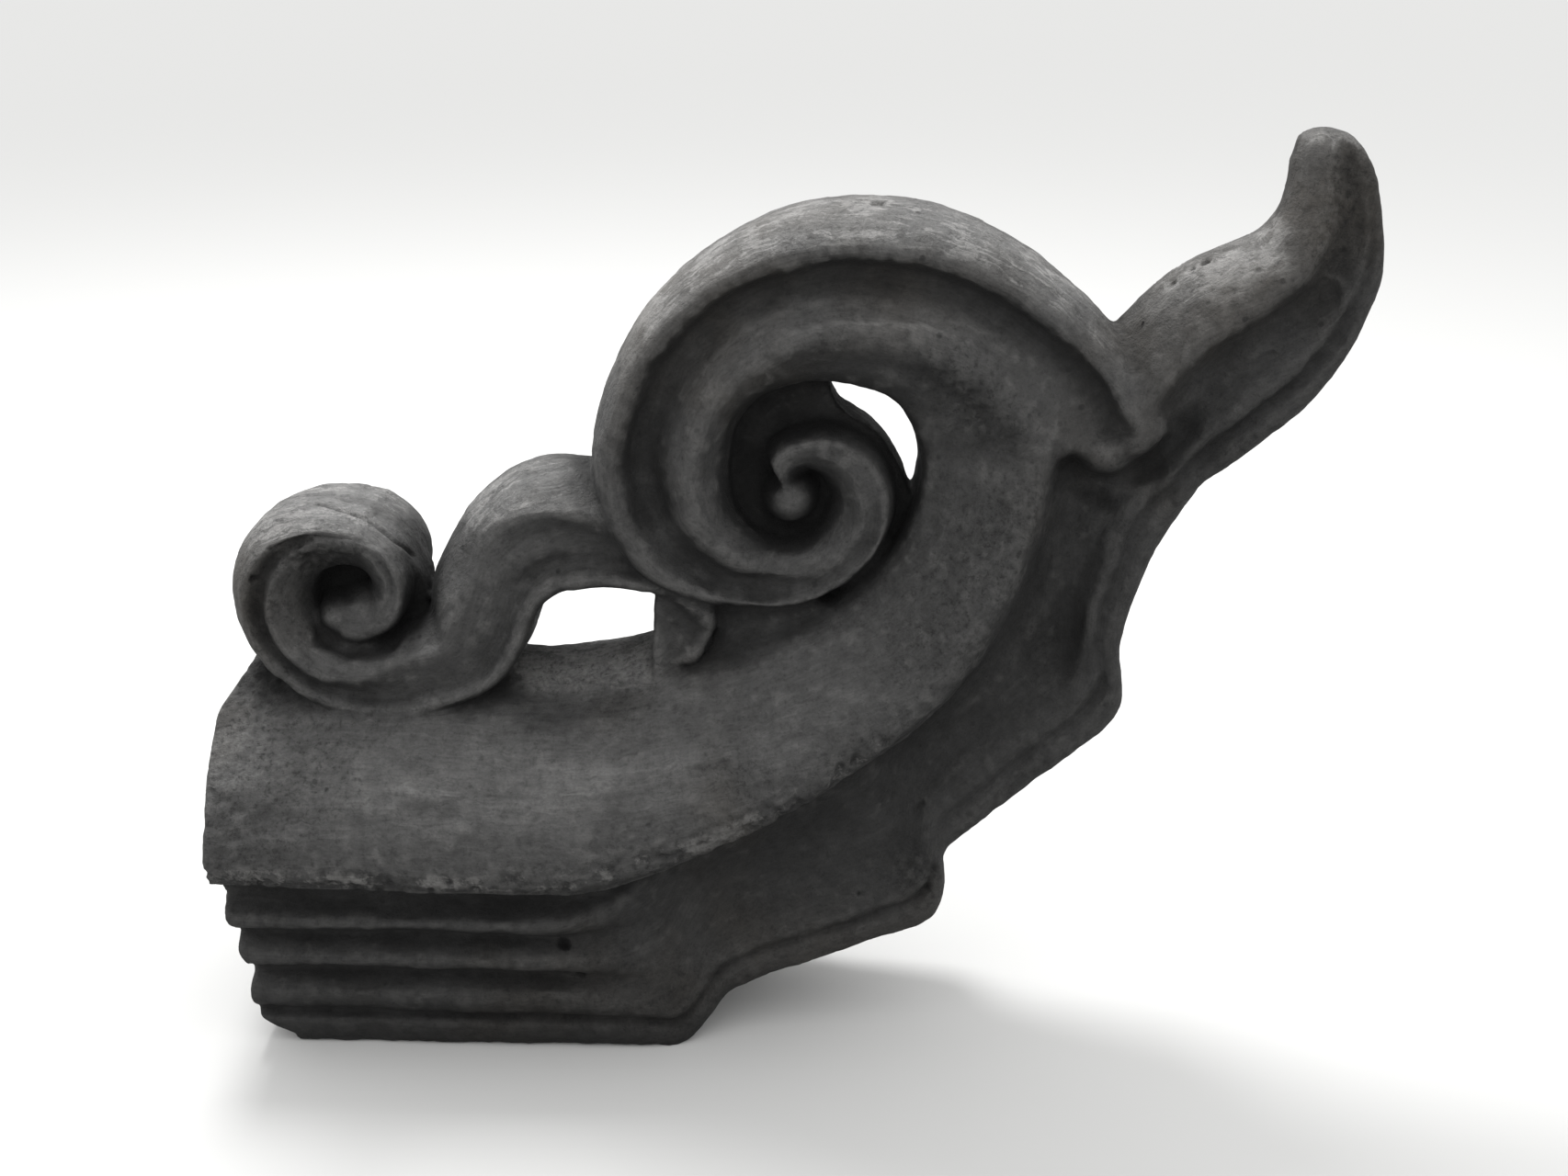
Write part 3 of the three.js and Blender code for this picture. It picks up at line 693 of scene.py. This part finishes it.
# how far left the worn end reaches at each height
endLine = through([0, -97], [5, -98], [10, -107], [14, -113], [19, -118.5], [44, -119], [58, -118.5],
                  [66, -121.5], [80, -122], [89, -125.5], [94, -127.5], [100, -126.5], [106, -130],
                  [112, -132.5], [182, -132.5], [195, -129], [206, -120])


def carve(points, normals):
    rise = np.zeros(len(points))
    facing = np.clip(2 * np.abs(normals[:, 1]), 0, 1)
    for height, wide, line in carving:
        rise += height * fade(lineDistance(points, line, wide), wide) * facing
    return rise


def frontWear(points, normals):
    rise = np.zeros(len(points))
    facing = np.clip(-2 * normals[:, 1], 0, 1)
    for height, wide, line in frontMarks:
        mask = facing if len(line[0]) == 2 else 1
        rise += height * fade(lineDistance(points, line), wide) * mask
    for height, lump, reach, line in tornPlaces:
        torn = latticeNoise(points, lump, 11) + 0.6 * latticeNoise(points, 0.45 * lump, 12)
        rise += height * fade(lineDistance(points, line), reach) * facing * np.minimum(torn, 0.3)
    return rise


def nearLedge(points):
    outside = np.abs(points[:, 1]) > chipping["outside"]
    return fade(lineDistance(points, ledgeLine), chipping["reach"]) * outside


def chippedLedge(points):  # the body's lower edge is knocked away in places
    bites = np.clip(unevenness(points, chipping["lumps"]) + chipping["more"], 0, 1)
    return -chipping["depth"] * nearLedge(points) * bites


def awayFromFoot(points):  # no streaks where the scroll leaves the ridge
    return 1 - fade(lineDistance(points, scrollFoot), working["streakFoot"])


def strongest(points, places):  # the strongest share of the places [reach, share, line] at each point
    most = np.zeros(len(points))
    for reach, share, line in places:
        most = np.maximum(most, share * fade(lineDistance(points, line), reach))
    return most


def carveAndSmooth(mesh, net):
    points = relax(readVertices(mesh), net, working["soften"])
    writeVertices(mesh, points)
    normals = readVertices(mesh, "normal")
    points = points + normals * carve(points * 1000, normals)[:, None] / 1000
    softer = strongest(points * 1000, smoothed)
    points = relax(points, net, working["handRounds"], working["handShare"] * softer)
    points = relax(points, net, working["settle"])
    writeVertices(mesh, points)
    return points


def roughen(mesh, net, points):
    points, normals = points * 1000, readVertices(mesh, "normal")
    streaks = np.pad(formCoordinates(points, net) / working["streak"], ((0, 0), (0, 1)))
    drawn = 0.22 * latticeNoise(streaks, 1, 3) + 0.14 * latticeNoise(streaks * [2, 2.3, 1], 1, 4)
    rise = unevenness(points, broadLumps)
    rise += awayFromFoot(points) * drawn
    rise += unevenness(points, fineLumps)
    rise += frontWear(points, normals) + chippedLedge(points)
    points += normals * rise[:, None]
    worn = endLine(points[:, 2]) + unevenness(points, [working["endWear"]]) + working["endDepth"]
    pushed = blend(points[:, 0], worn, working["endShare"])
    points[:, 0] = np.where(points[:, 0] < worn, pushed, points[:, 0])
    writeVertices(mesh, points / 1000)


def keepInBox(mesh):
    writeVertices(mesh, np.clip(readVertices(mesh), boxLow, boxHigh))


def workClay(thing):
    net = neighbours(thing.data)
    points = carveAndSmooth(thing.data, net)
    roughen(thing.data, net, points)
    keepInBox(thing.data)
    trim = thing.modifiers.new("trim", "DECIMATE")
    trim.ratio = working["faces"] / (2 * len(thing.data.polygons))
    applyModifiers(thing)
    keepInBox(thing.data)
    for polygon in thing.data.polygons:
        polygon.use_smooth = True


workClay(clay)
print("clay worked:", len(clay.data.polygons), "faces")


# what the weather has reached, and the open sky and nearby clay for painted light and shade, kept on the
# skin for the material
weatheringAndShade = {
    "rays": 14,
    "rayReach": 0.4,  # metres
    "rayLift": 0.001,
    "goldenAngle": 2.39996,
    "fineBend": 3,  # smoothing rounds that bring out rims and cracks
    "broadBend": 40,  # and those that bring out whole grooves
    "rubbleAndLight": 44,  # reach in mm
    "ledge": 28,
}


def skyAndShelter(mesh, points, normals):  # share of open sky, and of clay close by
    tree = BVHTree.FromPolygons(points.tolist(), [list(face.vertices) for face in mesh.polygons])
    side = np.cross(normals, np.where(np.abs(normals[:, 2:3]) < 0.9, [[0, 0, 1.0]], [[1.0, 0, 0]]))
    side /= np.linalg.norm(side, axis=1, keepdims=True)
    other = np.cross(normals, side)
    seen, near = np.zeros(len(points)), np.zeros(len(points))
    starts = points + normals * weatheringAndShade["rayLift"]
    rays, rayReach = weatheringAndShade["rays"], weatheringAndShade["rayReach"]
    for k in range(rays):
        turn = weatheringAndShade["goldenAngle"] * k
        out = math.sqrt((k + 0.5) / rays)
        ways = (side * (out * math.cos(turn)) + other * (out * math.sin(turn))
                + normals * math.sqrt(1 - out * out))
        for i in range(len(points)):
            away = tree.ray_cast(starts[i], ways[i], rayReach)[3]
            if away is not None:
                near[i] += 1 - away / rayReach
            elif ways[i, 2] > 0.02:  # the way points up, at the sky
                seen[i] += 1
    return seen / rays, near / rays


def keepOnSkin(mesh, name, values):
    kind = "FLOAT" if values.ndim == 1 else "FLOAT_VECTOR"
    layer = mesh.attributes.new(name, kind, "POINT")
    layer.data.foreach_set("value" if values.ndim == 1 else "vector", values.astype(np.float32).ravel())


# how far each place lies in the painted shade below and right of the line
def paintedShadeShare(points):
    flat, line = points[:, [0, 2]], np.array(paintedShadeLine, float)
    least, side = np.full(len(flat), np.inf), np.zeros(len(flat))
    for start, step in zip(line[:-1], np.diff(line, axis=0)):
        share = np.clip((flat - start) @ step / (step @ step), 0, 1)
        gap = flat - start - share[:, None] * step
        away = np.linalg.norm(gap, axis=1)
        turn = step[1] * gap[:, 0] - step[0] * gap[:, 1]
        side = np.where(away < least, np.sign(turn), side)
        least = np.minimum(least, away)
    width = 8 + 16 * np.clip((points[:, 0] - 190) / 90, 0, 1)  # mm, softer towards the right
    return np.clip(0.5 + side * least / width, 0, 1)


def weatherAndShade(thing):
    mesh = thing.data
    net = neighbours(mesh)
    points, normals = readVertices(mesh), readVertices(mesh, "normal")
    bend, broad = (((relax(points, net, weatheringAndShade[rounds]) - points) * normals).sum(1) * 1000
                   for rounds in ("fineBend", "broadBend"))
    openness, shelter = skyAndShelter(mesh, points, normals)
    points *= 1000
    rubbleAndLight = np.minimum(1, 1.6 * fade(lineDistance(points, rubbleAndLightLine), weatheringAndShade["rubbleAndLight"]))
    rugged = 0.7 * fade(lineDistance(points, ledgeLine), weatheringAndShade["ledge"])
    for _, _, reach, line in tornPlaces:
        rugged = np.maximum(rugged, fade(lineDistance(points, line), 1.8 * reach))
    flow = formCoordinates(points, net) / 1000
    keepOnSkin(mesh, "raised", np.clip(-4 * bend, 0, 1))
    # painted shade in hollows, from the bend of the skin and the lines of painted shade
    keepOnSkin(mesh, "hollowShade", np.clip(0.9 * bend + 0.17 * broad + strongest(points, paintedShadeLines), 0, 1))
    # painted light on the rubble: more open sky and less nearby clay in the colour
    keepOnSkin(mesh, "openness", relax(openness, net, 2) + 0.5 * rubbleAndLight)
    keepOnSkin(mesh, "shelter", relax(shelter, net, 3) * (1 - rubbleAndLight))
    keepOnSkin(mesh, "flow", np.pad(flow, ((0, 0), (0, 1))))
    keepOnSkin(mesh, "broken", nearLedge(points) + 1.2 * rubbleAndLight)
    keepOnSkin(mesh, "drawn", awayFromFoot(points))
    keepOnSkin(mesh, "paintedShadeBelow", paintedShadeShare(points))
    keepOnSkin(mesh, "rugged", np.maximum(rugged, rubbleAndLight))


weatherAndShade(clay)
print("weathered")


# materials
finish = {
    "openness": [(0.0, 0.005), (0.25, 0.018), (0.42, 0.034), (0.55, 0.044), (0.68, 0.047), (0.82, 0.069),
                 (1.0, 0.125)],  # painted sky light and shade: grey at each value of openness
    "tint": (1.0, 0.99, 0.975),
    # multiplier for the painted shade below the ledge
    "paintedShadeBelow": (0.57, 0.57, 0.57, 1),
    "brown": (0.062, 0.052, 0.040, 1),
    # pale dust and painted light on the tops
    "worn": (0.150, 0.147, 0.142, 1),
    "dustAndTopLight": (0.270, 0.265, 0.258, 1),
    # grey of the painted shade in the hollows
    "hollowShadeColour": (0.006, 0.006, 0.006, 1),
    # grey of the painted shade in crevices and pits
    "pitShade": (0.008, 0.008, 0.008, 1),
    "clouds": 0.18,  # how far each noise shifts the grey
    "streaks": 0.20,
    "grain": 0.12,
    "scores": 0.12,
    "mottle": 0.10,
    "drawnScale": (16, 210, 1),  # along and across the form, per metre
    "fineDrawnScale": (70, 620, 1),
    "specular": 0.3,
}
# noises: [scale per metre, detail, roughness], with the drawn ones scaled by drawnScale as well
noises = {
    "cloud": [13, 4, 0.55],
    "mottle": [60, 4, 0.6],
    "grain": [700, 3, 0.7],
    "streaks": [1, 3, 0.6],
    "scores": [1, 2, 0.6],
    "crumbs": [260, 5, 0.75],
    "scabs": [120, 6, 0.72],
    "worked": [11, 3, 0.55],
    "pitting": [22, 2, 0.55],
    "brown": [6, 3, 0.55],
    "drawnFlakes": [1.4, 5, 0.75],
    "fineFlakes": [55, 5, 0.75],
    "ledgeFlakes": [70, 5, 0.75],
}
poreScale, pitScale = 300, 75
# relief in millimetres
relief = {
    "grain": 0.28,
    "mottle": 1.4,
    "streaks": 0.6,
    "scores": 0.35,
    "scabs": 0.15,
    "crumbs": [1.6, 4.5],  # on plain and on rugged clay
    "pits": -0.9,
    "pores": -0.18,
}


def addNode(tree, kind, inputs=None, **settings):
    made = tree.nodes.new("ShaderNode" + kind)
    for key, value in settings.items():
        setattr(made, key, value)
    for key, value in (inputs or {}).items():
        if isinstance(value, bpy.types.NodeSocket):
            tree.links.new(value, made.inputs[key])
        else:
            made.inputs[key].default_value = value
    return made


def clayMaterial():
    # weathered grey clay whose colour also carries painted sky light and painted shade
    made = bpy.data.materials.new("weathered_grey_clay_with_painted_light")
    made.use_nodes = True
    tree = made.node_tree
    shader = tree.nodes["Principled BSDF"]

    def add(a, b):
        return addNode(tree, "Math", {0: a, 1: b}, operation="ADD").outputs[0]

    def times(a, b):
        return addNode(tree, "Math", {0: a, 1: b}, operation="MULTIPLY").outputs[0]

    def swing(value, share):  # a noise's swing about its middle
        return times(add(value, -0.5), share)

    def noise(name, place):
        scale, detail, roughness = noises[name]
        inputs = {"Vector": place, "Scale": scale, "Detail": detail, "Roughness": roughness}
        return addNode(tree, "TexNoise", inputs).outputs["Fac"]

    def cells(scale):
        return addNode(tree, "TexVoronoi", {"Vector": place, "Scale": scale}).outputs["Distance"]

    def spread(value, low, high, toLow=0.0, toHigh=1.0):
        inputs = {"Value": value, "From Min": low, "From Max": high, "To Min": toLow, "To Max": toHigh}
        return addNode(tree, "MapRange", inputs, interpolation_type="SMOOTHSTEP").outputs[0]

    def mix(share, first, second, how="MIX"):
        inputs = {0: share, 6: first, 7: second}
        return addNode(tree, "Mix", inputs, data_type="RGBA", blend_type=how).outputs[2]

    def kept(name):
        return addNode(tree, "Attribute", attribute_name=name)

    raised, hollowShade, openness, shelter, edge, paintedShadeBelow, rugged, drawnShare = (
        kept(name).outputs["Fac"]
        for name in ("raised", "hollowShade", "openness", "shelter", "broken", "paintedShadeBelow", "rugged", "drawn"))
    place = addNode(tree, "TexCoord").outputs["Object"]
    height = addNode(tree, "SeparateXYZ", {"Vector": place}).outputs["Z"]
    flow = kept("flow").outputs["Vector"]
    drawn, fineDrawn = (addNode(tree, "Mapping", {"Vector": flow, "Scale": finish[name]}).outputs[0]
                        for name in ("drawnScale", "fineDrawnScale"))
    cloud, mottle, grain, crumbs = (noise(name, place) for name in ("cloud", "mottle", "grain", "crumbs"))
    plain = (0.5, 0.5, 0.5, 1)
    streaks = mix(drawnShare, plain, noise("streaks", drawn))
    scores = mix(drawnShare, plain, noise("scores", fineDrawn))
    worked = spread(noise("worked", place), 0.5, 0.64, 0.12, 0.7)
    worked = addNode(tree, "Math", {0: rugged, 1: worked}, operation="MAXIMUM").outputs[0]
    pitted = times(spread(cells(pitScale), 0.16, 0.06), spread(noise("pitting", place), 0.5, 0.62))

    def greyByPaintedSkyLight():  # painted sky light and shade: grey by how open the place is to the sky, broken up by clouds and streaks
        reach = add(openness, swing(cloud, finish["clouds"]))
        streaked = swing(streaks, spread(openness, 0.6, 0.95, 0.3, 1.3))
        ramp = addNode(tree, "ValToRGB", {"Fac": add(reach, times(streaked, finish["streaks"]))})
        for _ in range(len(finish["openness"]) - 2):
            ramp.color_ramp.elements.new(0.5)
        for stop, (at, grey) in zip(ramp.color_ramp.elements, finish["openness"]):
            stop.position = at
            stop.color = [grey * part for part in finish["tint"]] + [1]
        earthy = spread(noise("brown", place), 0.52, 0.72, 0, 0.4)
        return mix(earthy, ramp.outputs["Color"], finish["brown"])

    def wearAndTopLight(colour):  # pale dust with painted sky light on the open upper tops, rubbed rims and the broken ledge
        flaked = add(noise("drawnFlakes", drawn), add(noise("fineFlakes", place), -0.5))
        flaked = add(flaked, swing(cloud, 0.5))
        # pale dust and painted light where the clay is open to the sky and high up
        dustAndTopLightShare = times(spread(openness, 0.70, 0.95), spread(flaked, 0.48, 0.60, 0, 0.5))
        colour = mix(times(dustAndTopLightShare, spread(height, 0.23, 0.29, 0.2, 1)), colour, finish["dustAndTopLight"])
        rubbed = times(spread(raised, 0.1, 0.9), spread(mottle, 0.3, 0.7, 0.05, 0.22))
        colour = mix(rubbed, colour, finish["worn"])
        flakes = add(noise("ledgeFlakes", place), swing(cloud, 0.6))
        broken = times(spread(edge, 0.2, 0.85), spread(flakes, 0.48, 0.57, 0, 0.6))
        return mix(broken, colour, finish["worn"])

    def darken(colour):  # painted shade below the ledge, in the hollows, in crevices and in pits
        # painted shade below the ledge and beside the scroll and horn
        colour = mix(paintedShadeBelow, colour, mix(1.0, colour, finish["paintedShadeBelow"], "MULTIPLY"))
        # painted shade in the hollows
        colour = mix(times(hollowShade, 0.7), colour, finish["hollowShadeColour"])
        # painted shade in crevices between crumbs and in pits
        creviceShade = times(spread(crumbs, 0.46, 0.36), spread(worked, 0, 1, 0.15, 0.42))
        colour = mix(creviceShade, colour, finish["pitShade"])
        return mix(times(pitted, 0.6), colour, finish["pitShade"])

    def shade(colour):  # painted shade where other clay is near and towards the bottom, and speckled, with painted light and shade on the crumbs
        shadeByNearClay = spread(shelter, 0.06, 0.68, 1, 0)
        shadeByNearClay = addNode(tree, "Math", {0: shadeByNearClay, 1: 1.3}, operation="POWER").outputs[0]
        # painted shade towards the floor, darker below 5 cm
        paintedShade = times(shadeByNearClay, spread(height, 0.0, 0.05, 0.55, 1))
        shades = add(spread(grain, 0.25, 0.75, 1 - finish["grain"], 1 + finish["grain"]),
                     spread(scores, 0.3, 0.7, -finish["scores"], finish["scores"]))
        shades = add(shades, spread(mottle, 0.3, 0.7, -finish["mottle"], finish["mottle"]))
        # painted light and shade on the crumbs: lighter where they rise, darker between them
        shades = times(add(shades, swing(crumbs, spread(worked, 0, 1, 0.9, 1.8))), paintedShade)
        shades = addNode(tree, "CombineColor", {0: shades, 1: shades, 2: shades}).outputs[0]
        return mix(1.0, colour, shades, "MULTIPLY")

    def reliefHeight():
        lift = times(grain, relief["grain"])
        lift = add(lift, times(mottle, relief["mottle"]))
        lift = add(lift, times(streaks, relief["streaks"]))
        lift = add(lift, times(scores, relief["scores"]))
        lift = add(lift, times(spread(noise("scabs", place), 0.54, 0.60), relief["scabs"]))
        lift = add(lift, times(crumbs, spread(worked, 0, 1, *relief["crumbs"])))
        lift = add(lift, times(pitted, relief["pits"]))
        return add(lift, spread(cells(poreScale), 0.0, 0.25, relief["pores"], 0))

    bump = addNode(tree, "Bump", {"Strength": 1.0, "Distance": 0.001, "Height": reliefHeight()})
    tree.links.new(shade(darken(wearAndTopLight(greyByPaintedSkyLight()))), shader.inputs["Base Color"])
    tree.links.new(spread(mottle, 0.3, 0.7, 0.70, 0.95), shader.inputs["Roughness"])
    tree.links.new(bump.outputs["Normal"], shader.inputs["Normal"])
    shader.inputs["Specular IOR Level"].default_value = finish["specular"]
    return made


clay.data.materials.clear()
clay.data.materials.append(clayMaterial())
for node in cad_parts.values():
    node.data.materials.clear()
    node.data.materials.append(clay.data.materials[0])
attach(clay, "root")
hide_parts("ridge_ornament")
print("material done")


# floor and light
studio = {
    "floor": 30.0,  # metres
    "floorColour": (0.46, 0.46, 0.455, 1),
    "floorRoughness": 0.95,
    "horizon": 0.95,
    "zenith": 2.15,
    "key": 54.0,  # watts
    "keyPlace": (-0.35, 0.85, 2.15),
    "keyAim": (0.17, 0, 0.25),
    "keySize": 0.8,
}


def softLight():
    lamp = bpy.data.lights.new("overhead", "AREA")
    lamp.shape = "DISK"
    lamp.size = studio["keySize"]
    lamp.energy = studio["key"]
    thing = bpy.data.objects.new("overhead", lamp)
    bpy.context.scene.collection.objects.link(thing)
    thing.location = studio["keyPlace"]
    way = Vector(studio["keyAim"]) - Vector(studio["keyPlace"])
    thing.rotation_euler = way.to_track_quat("-Z", "Y").to_euler()


def makeFloor():
    reach = studio["floor"]
    corners = [(-reach, -reach, 0), (reach, -reach, 0), (reach, reach, 0), (-reach, reach, 0)]
    ground = meshObject("floor", corners, [(0, 1, 2, 3)])
    paper = bpy.data.materials.new("pale_floor")
    paper.use_nodes = True
    sockets = paper.node_tree.nodes["Principled BSDF"].inputs
    sockets["Base Color"].default_value = studio["floorColour"]
    sockets["Roughness"].default_value = studio["floorRoughness"]
    sockets["Specular IOR Level"].default_value = 0.0
    ground.data.materials.append(paper)


def makeSky():  # an even overcast sky, brightest overhead
    world = bpy.data.worlds.new("studio")
    world.use_nodes = True
    tree = world.node_tree
    way = addNode(tree, "SeparateXYZ", {0: addNode(tree, "TexCoord").outputs["Generated"]}).outputs["Z"]
    inputs = {"Value": way, "To Min": studio["horizon"], "To Max": studio["zenith"]}
    strength = addNode(tree, "MapRange", inputs).outputs[0]
    tree.nodes["Background"].inputs["Color"].default_value = (1, 1, 1, 1)
    tree.links.new(strength, tree.nodes["Background"].inputs["Strength"])
    bpy.context.scene.world = world


makeFloor()
makeSky()
softLight()
bpy.context.scene.view_settings.view_transform = "Standard"
print("studio done")
